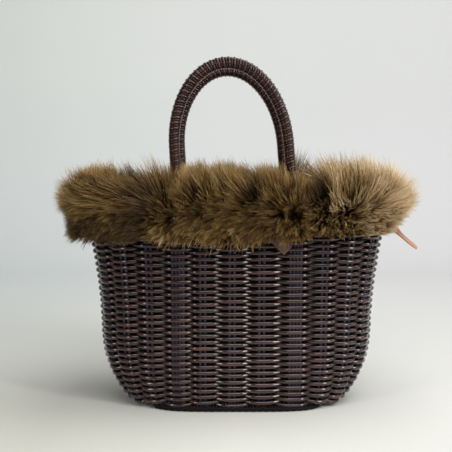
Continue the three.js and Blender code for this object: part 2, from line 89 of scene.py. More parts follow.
def on_wall(arc, z, out=0.0):
    """Points out from the wall's outer face, and the level direction outwards. Arc runs along the belly."""
    arc, z, out = np.broadcast_arrays(*(np.asarray(v, float) for v in (arc, z, out)))
    half = 2 * belly_quarter
    wrapped = (arc + half) % (2 * half) - half
    rear = np.abs(wrapped) > belly_quarter
    along = np.where(rear, half - np.abs(wrapped), np.abs(wrapped))
    level = np.clip(z, 0, wall_height)
    length = np.interp(level, table_heights, quarter_lengths)
    share = np.maximum(0, (along - steady_arc) / (belly_quarter - steady_arc))
    place = np.clip(along * (1 + (length / belly_quarter - 1) * share) / length, 0, 1) * table_steps
    row = level / wall_height * table_rows
    i, k = np.minimum(place.astype(int), table_steps - 1), np.minimum(row.astype(int), table_rows - 1)
    p, q = place - i, row - k
    turn = (1 - q) * ((1 - p) * turn_table[k, i] + p * turn_table[k, i + 1])
    turn += q * ((1 - p) * turn_table[k + 1, i] + p * turn_table[k + 1, i + 1])
    a, b = outline(level.ravel()).T.reshape(2, *level.shape)
    x, y = superellipse(turn, a, b)
    side, face, steep = np.where(wrapped < 0, -1, 1), np.where(rear, 1, -1), corner_power - 1
    outward = np.stack([side * (x / a) ** steep / a, face * (y / b) ** steep / b], -1)
    outward = outward / np.linalg.norm(outward, axis=-1, keepdims=True)
    outward = np.concatenate([outward, np.zeros_like(z)[..., None]], -1)
    return np.stack([side * x, face * y, z], -1) + outward * out[..., None], outward


def level_thickness(z):
    """The wall's thickness measured level, which grows where the wall slopes."""
    low = np.clip(1 - np.asarray(z, float) / foot_rise, 0, None)
    slope = (half_belly - half_foot).mean() * foot_power * low ** (foot_power - 1) / foot_rise
    return wall_thickness * np.sqrt(1 + slope * slope)


def unit(v):
    """Directions with a length of 1."""
    return v / np.linalg.norm(v, axis=-1, keepdims=True)


def quarter_turned(v):
    """Level directions turned a quarter to the left, seen from above."""
    return np.stack([-v[..., 1], v[..., 0], np.zeros(v.shape[:-1])], -1)


def wall_frame(arc, z, step=0.5):
    """The wall's middle, its normal and the level direction along it."""
    arc, z = np.broadcast_arrays(np.asarray(arc, float), np.asarray(z, float))
    middle, outward = on_wall(arc, z, -level_thickness(z) / 2)
    above, below = (on_wall(arc, near, -level_thickness(near) / 2)[0] for near in (z + step, z - step))
    along = quarter_turned(outward)
    return middle, unit(np.cross(along, above - below)), along


stake_pitch = leg_arc / leg_column
corner_pitch = (belly_quarter - front_columns * stake_pitch) / (stake_count / 4 - front_columns)
quarter_arcs = [min(i, front_columns) * stake_pitch + max(0, i - front_columns) * corner_pitch
                for i in range(stake_count // 4 + 1)]
right_arcs = quarter_arcs + [2 * belly_quarter - a for a in reversed(quarter_arcs)]
column_arcs = np.array(right_arcs + [4 * belly_quarter - a for a in reversed(right_arcs[1:-1])])
column_arcs[[0, 1, -1]] += front_shift
half_count = stake_count // 2
leg_columns = [leg_column, half_count - leg_column, half_count + leg_column, stake_count - leg_column]


def linear(code):
    """A hex colour as the linear colour that Blender's sockets take."""
    parts = [int(code[i : i + 2], 16) / 255 for i in (1, 3, 5)]
    return [p / 12.92 if p <= 0.04045 else ((p + 0.055) / 1.055) ** 2.4 for p in parts] + [1.0]


def add(tree, kind, inputs=None, stops=(), **settings):
    """Adds a node with its settings, stops and inputs, set or linked, and gives its outputs by name."""
    node = tree.nodes.new(kind)
    for key, value in settings.items():
        setattr(node, key, value)
    for i, (place, code) in enumerate(stops):
        stop = node.color_ramp.elements[i] if i < 2 else node.color_ramp.elements.new(place)
        stop.position, stop.color = place, linear(code)
    for key, value in (inputs or {}).items():
        socket = next(each for each in node.inputs if each.name == key and each.enabled)
        if isinstance(value, bpy.types.NodeSocket):
            tree.links.new(value, socket)
        else:
            socket.default_value = value
    return {each.name: each for each in node.outputs if each.enabled}


def noise(tree, place, scale, detail):
    return add(tree, "ShaderNodeTexNoise", {"Vector": place, "Scale": scale, "Detail": detail})["Fac"]


def ramp(tree, value, stops):
    return add(tree, "ShaderNodeValToRGB", {"Fac": value}, stops)["Color"]


def ranged(tree, value, given=(0.0, 1.0), to=(0.0, 1.0)):
    ends = dict(zip(("From Min", "From Max", "To Min", "To Max"), (*given, *to)))
    return add(tree, "ShaderNodeMapRange", {"Value": value, **ends})["Result"]


def mix(tree, share, a, b, kind="RGBA"):
    return add(tree, "ShaderNodeMix", {"Factor": share, "A": a, "B": b}, data_type=kind)["Result"]


def finish_material(name):
    """An empty material and its tree."""
    material = bpy.data.materials.new(name)
    material.use_nodes = True
    material.node_tree.nodes.clear()
    return material, material.node_tree


def surface(tree, inputs):
    """Gives a material its one shader."""
    add(tree, "ShaderNodeOutputMaterial", {"Surface": add(tree, "ShaderNodeBsdfPrincipled", inputs)["BSDF"]})


def grained_rod(name, stops, roughness, coat, streak, glint="#ffffff"):
    """Willow, bare or lacquered: its colour drifts in streaks of a size in millimetres, with finer grain.

    The grain is a sixth of a streak, coarser than the real one, which wouldn't show. Where a strand is marked
    with painted shade, as where it dives behind the stakes, it is painted nearly black and dull.
    """
    material, tree = finish_material(name)
    streak = [1 / (size * mm) for size in streak]
    place = add(tree, "ShaderNodeTexCoord")["Object"]
    stretched = add(tree, "ShaderNodeMapping", {"Vector": place, "Scale": streak})["Vector"]
    drift = noise(tree, stretched, 1.0, 3.0)
    fine = add(tree, "ShaderNodeMapping", {"Vector": place, "Scale": [6 * s for s in streak]})["Vector"]
    grain = noise(tree, fine, 1.0, 2.0)
    colour = ramp(tree, mix(tree, 0.3, drift, grain, "FLOAT"), stops)
    bump = add(tree, "ShaderNodeBump", {"Height": grain, "Strength": 0.4, "Distance": 0.2 * mm})["Normal"]
    # Painted shade: where a strand carries this mark, its colour is mixed towards black and its shine is
    # taken away.
    painted_shade = add(tree, "ShaderNodeAttribute", attribute_name="painted_shade")["Fac"]
    surface(tree, {
        "Base Color": mix(tree, painted_shade, colour, linear("#070505")), "IOR": 1.5, "Specular Tint": linear(glint),
        "Roughness": ranged(tree, grain, to=(roughness - 0.07, roughness + 0.09)),
        "Specular IOR Level": ranged(tree, painted_shade, to=(0.5, 0.1)),
        "Coat Weight": ranged(tree, painted_shade, to=(coat, 0.0)), "Coat Roughness": 0.16, "Normal": bump})
    return material


def strand_tree():
    """Geometry Nodes: sweeps an oval section along each path, as thick as the path's girth says."""
    tree = bpy.data.node_groups.new("Swept strand", "GeometryNodeTree")
    sockets = [("Paths", "NodeSocketGeometry"), ("Across", "NodeSocketFloat"), ("Deep", "NodeSocketFloat"),
               ("Sides", "NodeSocketInt"), ("Finish", "NodeSocketMaterial")]
    for name, kind in sockets:
        tree.interface.new_socket(name, in_out="INPUT", socket_type=kind)
    tree.interface.new_socket("Strands", in_out="OUTPUT", socket_type="NodeSocketGeometry")
    given = add(tree, "NodeGroupInput")
    line = add(tree, "GeometryNodeMeshToCurve", {"Mesh": given["Paths"]})["Curve"]
    facing = add(
        tree, "GeometryNodeInputNamedAttribute", {"Name": "facing"}, data_type="FLOAT_VECTOR")["Attribute"]
    turned = add(tree, "GeometryNodeSetCurveNormal", {"Curve": line, "Normal": facing}, mode="FREE")["Curve"]
    girth = add(tree, "GeometryNodeInputNamedAttribute", {"Name": "girth"}, data_type="FLOAT")["Attribute"]
    ring = add(
        tree, "GeometryNodeCurvePrimitiveCircle", {"Resolution": given["Sides"], "Radius": 0.5})["Curve"]
    size = add(tree, "ShaderNodeCombineXYZ", {"X": given["Deep"], "Y": given["Across"], "Z": 1.0})["Vector"]
    oval = add(tree, "GeometryNodeTransform", {"Geometry": ring, "Scale": size})["Geometry"]
    around = add(tree, "GeometryNodeSplineParameter")["Factor"]
    marked = add(tree, "GeometryNodeStoreNamedAttribute", {
        "Geometry": oval, "Name": "around", "Value": around}, data_type="FLOAT", domain="POINT")["Geometry"]
    swept = add(tree, "GeometryNodeCurveToMesh", {
        "Curve": turned, "Profile Curve": marked, "Scale": girth, "Fill Caps": True})["Mesh"]
    real = add(tree, "GeometryNodeRealizeInstances", {"Geometry": swept})["Geometry"]
    painted = add(
        tree, "GeometryNodeSetMaterial", {"Geometry": real, "Material": given["Finish"]})["Geometry"]
    add(tree, "NodeGroupOutput", {"Strands": painted})
    return tree


sweep = strand_tree()


def set_out(name, data):
    """Puts a mesh, a camera or a lamp in the scene."""
    thing = bpy.data.objects.new(name, data)
    bpy.context.scene.collection.objects.link(thing)
    return thing


def values_of(rows, key, kind=np.int32):
    """One number of each row, as an array."""
    values = np.empty(len(rows), kind)
    rows.foreach_get(key, values)
    return values


def corner_values(mesh, name):
    """A mark of the mesh's points, at each corner of its faces."""
    values = values_of(mesh.attributes[name].data, "value", np.float32)
    return values[values_of(mesh.loops, "vertex_index")]


def over_seam(mesh, values):
    """Values that jump from 1 to 0 within a face go on past 1 there."""
    firsts = values_of(mesh.polygons, "loop_start")
    sizes = np.diff(np.append(firsts, len(values)))
    most = np.repeat(np.maximum.reduceat(values, firsts), sizes)
    return values + (most - values > 0.5)


def flat_map(mesh, across, up):
    """Gives each corner of the mesh's faces its place on the flat map."""
    places = np.stack([across, up], -1).astype(np.float32).ravel()
    mesh.uv_layers.new(name="OFBake").data.foreach_set("uv", places)


def strands(name, paths, across, finish, facing=None, sides=8, deep=None, girth=None, laps=None, marks=None,
            closed=False):
    """One mesh of round strands along paths of points, or of flatter ones that are only so deep along facing.

    Its flat map gives each strand, or each lap of a wound one, a level band. Hair has a map of its own.
    """
    points = np.concatenate(paths)
    starts = np.cumsum([0] + [len(p) for p in paths])
    ends = np.zeros(len(points), bool)
    ends[starts[1:] - 1] = True
    first = np.flatnonzero(~ends)
    edges = np.stack([first, first + 1], -1)
    if closed:
        edges = np.concatenate([edges, np.stack([starts[1:] - 1, starts[:-1]], -1)])
    mesh = bpy.data.meshes.new(name)
    mesh.vertices.add(len(points))
    mesh.vertices.foreach_set("co", (points * mm).astype(np.float32).ravel())
    mesh.edges.add(len(edges))
    mesh.edges.foreach_set("vertices", edges.astype(np.int32).ravel())
    if laps is None:
        laps = [i + np.linspace(0.01, 0.99, len(p)) for i, p in enumerate(paths)]
    columns = {"girth": np.ones(len(points)) if girth is None else np.concatenate(girth),
               "lap": np.concatenate(laps), **(marks or {})}
    for key, values in columns.items():
        mesh.attributes.new(key, "FLOAT", "POINT").data.foreach_set("value", np.asarray(values, np.float32))
    normals = np.tile([0.0, 0.0, 1.0], (len(points), 1)) if facing is None else np.concatenate(facing)
    way = mesh.attributes.new("facing", "FLOAT_VECTOR", "POINT")
    way.data.foreach_set("vector", normals.astype(np.float32).ravel())
    mesh.update()
    piece = set_out(name, mesh)
    modifier = piece.modifiers.new("Sweep", "NODES")
    modifier.node_group = sweep
    values = {"Across": across * mm, "Deep": (deep or across) * mm, "Sides": sides, "Finish": finish}
    for item in sweep.interface.items_tree:
        if item.item_type == "SOCKET" and item.in_out == "INPUT" and item.name in values:
            modifier[item.identifier] = values[item.name]
    result = bpy.data.meshes.new_from_object(piece.evaluated_get(bpy.context.evaluated_depsgraph_get()))
    piece.modifiers.clear()
    piece.data = result
    result.name = name
    result.shade_smooth()
    bpy.data.meshes.remove(mesh)
    if "height" not in columns:
        lap, around = corner_values(result, "lap"), over_seam(result, corner_values(result, "around"))
        whole = np.floor(lap) if max(np.ptp(each) for each in laps) < 1 else lap
        flat_map(result, over_seam(result, lap % 1), (whole + around) / (lap.max() + 2))
    return piece


# The dye is deeper in the grain than on it, so each rod has fine upright streaks, and it shines softly.
stake_streak = (2.38, 2.38, 25)
stake_dye = grained_rod(
    "Willow rod, dyed blue-black", [(0.3, "#14131e"), (0.52, "#27233c"), (0.72, "#444066")], 0.3, 0.4,
    stake_streak)
stake_levels = np.concatenate([
    [stake_foot], np.linspace(6, 72, 12), np.linspace(84, wall_height - stake_top_gap, 9)])
stake_paths, stake_facing = [], []
for column, arc in enumerate(column_arcs):
    if column in leg_columns:
        continue
    middle, normal, along = wall_frame(arc, stake_levels)
    spread = (stake_group_width - stake_thickness) / 2
    for shift in np.linspace(-spread, spread, stake_rods):
        stake_paths.append(middle + along * shift)
        stake_facing.append(normal)
stakes = strands("wall_stakes", stake_paths, stake_thickness, stake_dye, stake_facing)
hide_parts(*[f"stake_group_{i:02d}" for i in range(1, stake_count - 3)])
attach(stakes, "basket")

# Wall weave. Two glossy dark brown willow strands chase each other round the basket, each over one pair of
# stakes and behind the next. So a pair shows a float at every second row, which tapers where it dives in.
row_count, strand_tall, strand_deep = 62, 4.2, 3.1
steps_per_column = 10
first_row, last_row = 6.6, wall_height - 2.2
foot_dip, foot_dip_height = 0.9, 14.0
step_up_columns, weave_clearance = 2.5, 0.1
level_wander, depth_wander, girth_wander = 0.16, 0.12, 0.03
girth_by_bulge = ([-1, -0.5, 0, 0.5, 1], [1.32, 1.15, 0.88, 0.96, 1.03])
shade_under_fur = ([70, 120, 190], [0, 0.18, 0.42])
fine_heights = np.linspace(0, wall_height, 401)
row_pitch = np.interp(fine_heights, [0, 20, 80, wall_height], [2.55, 2.95, 3.1, 3.25])
rising = np.concatenate([[0], np.cumsum(np.diff(fine_heights) / row_pitch[1:])])
start, stop = np.interp([first_row, last_row], fine_heights, rising)

# The lacquer gives each float small warm glints, and the dye took darker on some lengths than on others.
weave_dye = grained_rod(
    "Willow strand, dyed dark brown and lacquered",
    [(0.28, "#120a0b"), (0.44, "#24161a"), (0.54, "#321d1e"), (0.72, "#532e28")], 0.19, 0.65,
    (28.57, 28.57, 3.03), glint="#fff0e4")


def weaver(offset, seed):
    """One weaver from the foot to the rim: its points, the wall's normal, its girth, lap and painted shade.

    It starts at the rear, runs level, and steps up there after each lap.
    """
    laps = row_count // 2
    count = laps * stake_count * steps_per_column
    column = np.arange(count + 1) / steps_per_column + stake_count / 2
    turned = np.append(column_arcs, 4 * belly_quarter + column_arcs[0])
    within = column % stake_count
    i = np.minimum(within.astype(int), stake_count - 1)
    arc = turned[i] + (within - i) * (turned[i + 1] - turned[i])
    lap, share = np.divmod(np.arange(count + 1) / (steps_per_column * stake_count), 1)
    climb = np.clip((share - 1) * stake_count / step_up_columns + 1, 0, 1)
    row = 2 * lap + offset + 2 * climb * climb * (3 - 2 * climb)
    swing = np.cos(math.pi * column) * (1 if offset == 0 else -1)
    bulge = swing * (1.5 - 0.5 * swing * swing)
    wander = np.random.default_rng(seed).normal(0, 1, (3, laps * stake_count + stake_count))
    wander = [np.interp(column, np.arange(len(w)), w) for w in wander]
    path = start + (stop - start) * np.minimum(row / (row_count - 1), 1)
    z = np.interp(path, rising, fine_heights) + level_wander * wander[0]
    z = z - foot_dip * bulge * np.exp(-((z / foot_dip_height) ** 2))
    middle, normal, _ = wall_frame(arc, z)
    depth = (stake_thickness + strand_deep) / 2 + weave_clearance
    points = middle + normal * ((depth * bulge + depth_wander * wander[1])[:, None])
    girth = np.interp(bulge, *girth_by_bulge) + girth_wander * wander[2]
    # Painted shade: dark and dull where the strand dives behind the stakes, and a painted shadow of the fur
    # on the upper rows.
    painted_shade = np.maximum(np.interp(bulge, [-0.45, 0.15], [1, 0]), np.interp(z, *shade_under_fur))
    return points, normal, girth, lap + share, painted_shade


for name, offset in (("first_weaver", 0), ("second_weaver", 1)):
    points, facing, girth, laps, painted_shade = weaver(offset, 11 + offset)
    piece = strands(
        name, [points], strand_tall, weave_dye, [facing], deep=strand_deep, girth=[girth], laps=[laps],
        marks={"painted_shade": painted_shade})
    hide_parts("wall_weave")
    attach(piece, "basket")

# Handle roots. In place of four pairs of stakes, the ends of the handles' willow rods are pushed down into
# the weave: four rods side by side, which draw together to a bundle where they leave the rim.
root_thickness, handle_group_width = 2.8, 13.0
border_low, border_height = wall_height + 0.3, 10.0
skin_top, pivot_height, core_radius = 211.8, 215.9, 3.8
bundle = [(-1, -1), (-1, 1), (1, -1), (1, 1)]
bundle_step, gathered, root_top = 1.4, border_low + 7.5, skin_top - 0.1

# The same dye and streaks as on the stakes, a little greyer to the eye.
root_dye = grained_rod(
    "Willow rod, dyed blue-black, handle root", [(0.3, "#15131c"), (0.52, "#282438"), (0.72, "#454060")],
    0.3, 0.4, stake_streak)
root_levels = np.concatenate([stake_levels[:-1], [wall_height, border_low + 3.5, gathered, root_top]])
gather = np.clip((root_levels - wall_height) / (gathered - wall_height), 0, 1)[:, None]
root_paths, root_facing = [], []
for column in leg_columns:
    middle, normal, along = wall_frame(column_arcs[column], np.minimum(root_levels, wall_height))
    middle[:, 2] = root_levels
    spread = (handle_group_width - root_thickness) / 2
    for shift, (deep, wide) in zip(np.linspace(-spread, spread, len(bundle)), bundle):
        flat = along * shift
        bundled = (along * wide + normal * deep) * bundle_step
        root_paths.append(middle + flat * (1 - gather) + bundled * gather)
        root_facing.append(normal)
roots = strands("handle_roots", root_paths, root_thickness, root_dye, root_facing)
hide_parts(*[f"{face}_{side}_handle_root"
                     for face in ("front", "rear") for side in ("left", "right")])
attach(roots, "basket")

# Foot band. Three blue-black willow rods are twisted to a rope under the base, a little inside the wall's
# ends. The basket stands on it. Painted near black, it shows as the dark line of shadow below the first row.
band_half_width, band_half_depth, band_corner_power, band_height = 88.0, 64.5, 4.5, 2.5
band_strands, band_thickness, band_lay, band_radius, band_steps = 3, 2.3, 20.0, 1.12, 400
rope_sides = 9
# It has no lacquer. Its colour is painted near black, and it is marked with painted shade, which also dulls
# it, for the deep shadow under the basket.
band_dye_painted_shade = grained_rod(
    "Willow rod, dyed blue-black, foot, in painted shade", [(0.3, "#050509"), (0.6, "#0b0b14")], 0.6, 0.0, (5, 5, 5))


def twisted_ring(name, middle, outward, count, thickness, lay, radius, finish, painted_shade=0.0):
    """Strands twisted to a rope along a closed line of points, marked with that much painted shade."""
    steps = np.linalg.norm(np.roll(middle, -1, axis=0) - middle, axis=1)
    share = np.concatenate([[0], np.cumsum(steps)[:-1]]) / steps.sum()
    paths, facing = [], []
    for i in range(count):
        angle = 2 * math.pi * (round(steps.sum() / lay) * share + i / count)
        offset = outward * np.cos(angle)[:, None] + np.array([0, 0, 1]) * np.sin(angle)[:, None]
        paths.append(middle + offset * radius)
        facing.append(offset)
    marks = {"painted_shade": np.full(count * len(middle), painted_shade)}
    return strands(name, paths, thickness, finish, facing, rope_sides, marks=marks, closed=True)


turns = np.linspace(0, 2 * math.pi, band_steps, endpoint=False)
x, y = superellipse(turns, band_half_width, -band_half_depth, band_corner_power)
middle = np.stack([x, y, np.full(band_steps, band_height)], -1)
outward = unit(quarter_turned(np.roll(middle, 1, axis=0) - np.roll(middle, -1, axis=0)))
band = twisted_ring(
    "foot_band", middle, outward, band_strands, band_thickness, band_lay, band_radius, band_dye_painted_shade, painted_shade=0.8)
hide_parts("wall_weave")
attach(band, "basket")

# Rim border. The ends of the willow stakes are turned down along the rim and plaited as a round three-strand
# border. It lies under the fur, and the pelts are folded over it.
border_strands, border_thickness, border_lay = 3, 4.6, 34.0
border_centre, border_radius = border_low + border_height / 2, 2.4
ring_arcs = np.linspace(0, 4 * belly_quarter, 360, endpoint=False)
middle, outward = on_wall(ring_arcs, np.full_like(ring_arcs, wall_height), -wall_thickness / 2)
middle[:, 2] = border_centre
border = twisted_ring(
    "plaited_border", middle, outward, border_strands, border_thickness, border_lay, border_radius, weave_dye)
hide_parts("rim_border")
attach(border, "basket")

# Base. Five pairs of willow sticks run the long way, and a dark brown strand goes to and fro across them.
# Its turns are tucked in under the wall, and its last rows ride over the foot band at both ends.
base_sticks, base_stick_pitch, stick_thickness, stick_short, foot_gap = 5, 20.0, 2.4, 6.0, 0.4
stick_shift = 0.55 * stick_thickness
base_strand, base_sides, base_row_pitch, base_height = 2.6, 7, 3.1, 4.2
base_past_foot, base_end_gap, base_points = 14.5, 3.5, 38
base_tuck, tuck_height, tuck_end, tuck_fade = 6.0, 1.6, 80.0, 6.0
band_ride, ride_start, ride_fade, turn_fade = 3.0, 76.0, 8.0, 3.0
base_swing = (stick_thickness + base_strand) / 2.1


def base_reach(edge, at):
    """How far the foot's outline reaches one way, at a distance from its middle the other way."""
    far, wide = edge
    return far * (1 - (abs(at) / wide) ** corner_power) ** (1 / corner_power)


inner_foot = half_foot - float(level_thickness(0)) - foot_gap
stick_paths = []
for i in range(base_sticks):
    y = (i - (base_sticks - 1) / 2) * base_stick_pitch
    reach = base_reach(inner_foot, y) - stick_short
    x = np.linspace(-reach, reach, 12)
    for shift in (-stick_shift, stick_shift):
        stick_paths.append(np.stack([x, np.full_like(x, y + shift), np.full_like(x, base_height)], -1))
sticks = strands("base_sticks", stick_paths, stick_thickness, stake_dye)
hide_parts(*[f"base_stick_{i + 1}" for i in range(base_sticks)])
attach(sticks, "basket")

base_edge = inner_foot + [base_past_foot, 0.0]
base_rows = int(2 * (base_edge[0] - base_end_gap) / base_row_pitch)
base_path = []
for row in range(base_rows):
    x = (row - (base_rows - 1) / 2) * base_row_pitch
    way = 1 if row % 2 == 0 else -1
    reach = base_reach(base_edge[::-1], x) - base_strand / 2
    tucked = base_tuck * np.clip((tuck_end - abs(x)) / tuck_fade, 0, 1)
    y = np.linspace(-reach - tucked, reach + tucked, base_points) * way
    lift = np.cos(math.pi * y / base_stick_pitch) * way * np.clip((reach - np.abs(y)) / turn_fade, 0, 1)
    height = base_height + band_ride * np.clip((abs(x) - ride_start) / ride_fade, 0, 1) + lift * base_swing
    height = height - (base_height - tuck_height) * np.clip((np.abs(y) - reach) / turn_fade, 0, 1)
    base_path.append(np.stack([np.full_like(y, x), y, height], -1))
base = strands("base_weaver", [np.concatenate(base_path)], base_strand, weave_dye, sides=base_sides)
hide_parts("base_weave")
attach(base, "basket")

# Handles. Each is a bundle of four willow rods bent to an arch, and two strands wound round it side by side,
# without a gap. It springs from the rim.
handle_top, spring_height, spring_half_span = 349.0, 261.0, 55.5
crown_shift, shift_power, handle_lean, flex_length = 9.0, 0.57, math.radians(4.2), 42.0
wrap_radius, wrap_pitch, wrap_thickness, wrap_lift, wrap_swell = 5.75, 5.4, 2.85, 0.5, 0.9
wrap_end, wrap_bite, wrap_steps, wrap_sides = wrap_lift + 1.4, 0.25, 16, 7
swell_height, crown_swell, strand_proud, low_proud, crown_proud = 60.0, 0.6, 0.22, 0.4, 0.9
second_painted_shade, core_points, core_drop = 0.5, 90, core_radius - 0.3
crown_height = handle_top - wrap_radius - wrap_swell
leg_foot = wall_frame(leg_arc, wall_height)[0]


def half_span(drop):
    """Half the distance between a handle's legs, at a share of the way down from the crown's ends."""
    return spring_half_span + (leg_foot[0] - spring_half_span) * drop**2


def leaned(up):
    """How far a handle is shifted to the left, and how far out it stands, at a height over its pivot."""
    shift = crown_shift * (up / (crown_height - pivot_height)) ** shift_power
    return shift, abs(leg_foot[1]) - up * math.tan(handle_lean)


def arch(side):
    """Points along a handle's middle line, how far along it they are, and the direction it is flat in."""
    rise = np.linspace(0, 1, 60)
    leg_x = half_span(1 - rise)
    leg_z = pivot_height + rise * (spring_height - pivot_height)
    turn = np.linspace(0, math.pi, 241)[1:-1]
    x = np.concatenate([-leg_x, -spring_half_span * np.cos(turn), leg_x[::-1]])
    z = np.concatenate([leg_z, spring_height + (crown_height - spring_height) * np.sin(turn), leg_z[::-1]])
    shift, deep = leaned(z - pivot_height)
    line = np.stack([x - shift, side * deep, z], -1)
    far = np.concatenate([[0], np.cumsum(np.linalg.norm(np.diff(line, axis=0), axis=1))])
    return line, far, np.array([0, math.cos(handle_lean), side * math.sin(handle_lean)])


def along_arch(line, far, flat, at):
    """Points at these lengths along the line, and the direction across it in the arch."""
    point, ahead, behind = (
        np.stack([np.interp(at + step, far, line[:, k]) for k in range(3)], -1) for step in (0, 1, -1))
    return point, unit(np.cross(unit(ahead - behind), flat))


# Wound tight, the dye shows redder where hands have polished it, and every turn has its own small glint.
wound_dye = grained_rod(
    "Willow strand, dyed dark brown and lacquered, wound",
    [(0.28, "#150b0a"), (0.47, "#2a1614"), (0.6, "#40211c"), (0.76, "#62362b")], 0.22, 0.4,
    (6.25, 6.25, 6.25), glint="#ffe0d0")
# The rods inside are peeled and left plain, a dull mid brown that shows only at the winding's ends.
rod_wood = grained_rod(
    "Willow rod, bare", [(0.3, "#4a3122"), (0.7, "#7a5638")], 0.6, 0.0, (11.11, 11.11, 11.11))

for face, side in (("front", -1), ("rear", 1)):
    line, far, flat = arch(side)
    length = far[-1]
    point, across = along_arch(line, far, flat, np.linspace(0, length, core_points))
    point[[0, -1], 2] -= core_drop
    rods = [point + (flat * deep + across * wide) * bundle_step for deep, wide in bundle]
    core = strands(f"{face}_handle_rods", rods, root_thickness, rod_wood, [across] * len(bundle))
    turns = round((length - 2 * wrap_lift) / wrap_pitch)
    at = np.linspace(wrap_end, length - wrap_end, turns * wrap_steps + 1)
    angle = np.linspace(0, 2 * math.pi * turns, len(at))
    point, across = along_arch(line, far, flat, at)
    wound, facing, laps, painted_strand_shades = [], [], [], []
    swell = np.clip((point[:, 2] - spring_height) / swell_height, 0, 1)
    # Painted shade: the second strand is painted half way to black and dulled, for the dark gaps between the
    # turns.
    for start_angle, proud, painted_shade in ((0.0, strand_proud, 0.0), (math.pi, -strand_proud, second_painted_shade)):
        spoke = flat * np.cos(angle + start_angle)[:, None] + across * np.sin(angle + start_angle)[:, None]
        radius = wrap_radius - wrap_thickness / 2 - wrap_bite + crown_swell * swell
        radius = radius + proud * (low_proud + crown_proud * swell)
        wound.append(point + spoke * radius[:, None])
        facing.append(spoke)
        laps.append(angle / (2 * math.pi) + (turns + 1 if start_angle else 0))
        painted_strand_shades.append(np.full(len(at), painted_shade))
    wrap = strands(
        f"{face}_handle_winding", wound, wrap_thickness, wound_dye, facing, wrap_sides, laps=laps,
        marks={"painted_shade": np.concatenate(painted_strand_shades)})
    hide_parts(f"{face}_handle_core")
    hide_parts(f"{face}_handle_wrap")
    for piece in (core, wrap):
        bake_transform(piece)

# Pelt skins. Four strips of raw leather are folded over the border with the hair outside, and stitched down.
# They meet at four seams: two on the front, and two on the rear.
skin_thickness, skin_bottom, skin_inner_bottom = 1.2, wall_height - 26, wall_height - 12
fold_radius, skin_out, skin_in, trim_steps = 5.0, 1.6, -10.6, 40
front_seams, rear_half, seam_gap = (-80.0, 68.0), 72.0, 0.6
straight_up, straight_down = skin_top - fold_radius - np.array([skin_bottom, skin_inner_bottom])
quarter_fold = fold_radius * math.pi / 2
flat_top = skin_out - skin_in - 2 * fold_radius
fold_ends = np.cumsum([straight_up, quarter_fold, flat_top, quarter_fold, straight_down])
trim_length = fold_ends[-1]


def trim(s, lift=0.0):
    """The trim's section from the outer lower edge to the inner one: out, height and both normals."""
    folded = np.clip(s - fold_ends[0], 0, quarter_fold) + np.clip(s - fold_ends[2], 0, quarter_fold)
    normal_out, normal_up = np.cos(folded / fold_radius), np.sin(folded / fold_radius)
    centre_out = skin_out - fold_radius - np.clip(s - fold_ends[1], 0, flat_top)
    going_down = straight_up - (s - fold_ends[3])
    height = np.where(s < fold_ends[3], np.minimum(s, straight_up), going_down) + skin_bottom
    out = centre_out + (fold_radius + lift) * normal_out
    return out, height + (fold_radius + lift) * normal_up, normal_out, normal_up


def raw_leather(name, stops, roughness):
    """Raw or sueded leather: matt, with soft blotches a centimetre across and a fine nap of 0.7 mm."""
    material, tree = finish_material(name)
    place = add(tree, "ShaderNodeTexCoord")["Object"]
    blotch, nap = (
        noise(tree, place, 1 / (size * mm), detail) for size, detail in ((11.11, 4.0), (0.7143, 3.0)))
    colour = ramp(tree, mix(tree, 0.35, blotch, nap, "FLOAT"), stops)
    bump = add(tree, "ShaderNodeBump", {"Height": nap, "Strength": 0.5, "Distance": 0.3 * mm})["Normal"]
    surface(tree, {
        "Base Color": colour, "Roughness": roughness, "Sheen Weight": 0.2, "Sheen Roughness": 0.5,
        "Normal": bump})
    return material


def faced(name, points, faces, finish):
    """A piece of points and faces in one finish."""
    mesh = bpy.data.meshes.new(name)
    mesh.from_pydata((points.reshape(-1, 3) * mm).tolist(), [], faces)
    mesh.materials.append(finish)
    return set_out(name, mesh)


def solid_sheet(name, grid, thickness, leather):
    """A grid of points as a smooth sheet with real thickness."""
    rows, columns = grid.shape[:2]
    faces = [(i + k, i + columns + k, i + columns + k + 1, i + k + 1)
             for i in range(0, (rows - 1) * columns, columns) for k in range(columns - 1)]
    piece = faced(name, grid, faces, leather)
    piece.data.shade_smooth()
    thick = piece.modifiers.new("Thickness", "SOLIDIFY")
    thick.thickness, thick.offset = thickness * mm, 0.0
    return piece


# Tanned but not finished, the flesh side is a matt, dull brown in soft blotches.
skin_leather = raw_leather("Raw pelt leather", [(0.35, "#3f2e20"), (0.65, "#5d4530")], 0.85)
half_around = 2 * belly_quarter
side_ends = half_around - rear_half - seam_gap
spans = {"front": front_seams, "right": (front_seams[1] + seam_gap, side_ends),
         "rear": (half_around - rear_half, half_around + rear_half),
         "left": (-side_ends, front_seams[0] - seam_gap)}
pelts = {face: ((low + high) / 2, (high - low) / 2) for face, (low, high) in spans.items()}
for face, (middle_arc, half) in pelts.items():
    arcs = np.linspace(middle_arc - half, middle_arc + half, round(half / 2) + 1)[:, None]
    out, z, _, _ = trim(np.linspace(0, trim_length, trim_steps + 1), -skin_thickness / 2)
    grid = on_wall(*np.broadcast_arrays(arcs, z[None], out[None]))[0]
    skin = solid_sheet(f"{face}_skin", grid, skin_thickness, skin_leather)
    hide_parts(f"{face}_pelt_skin")
    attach(skin, "basket")

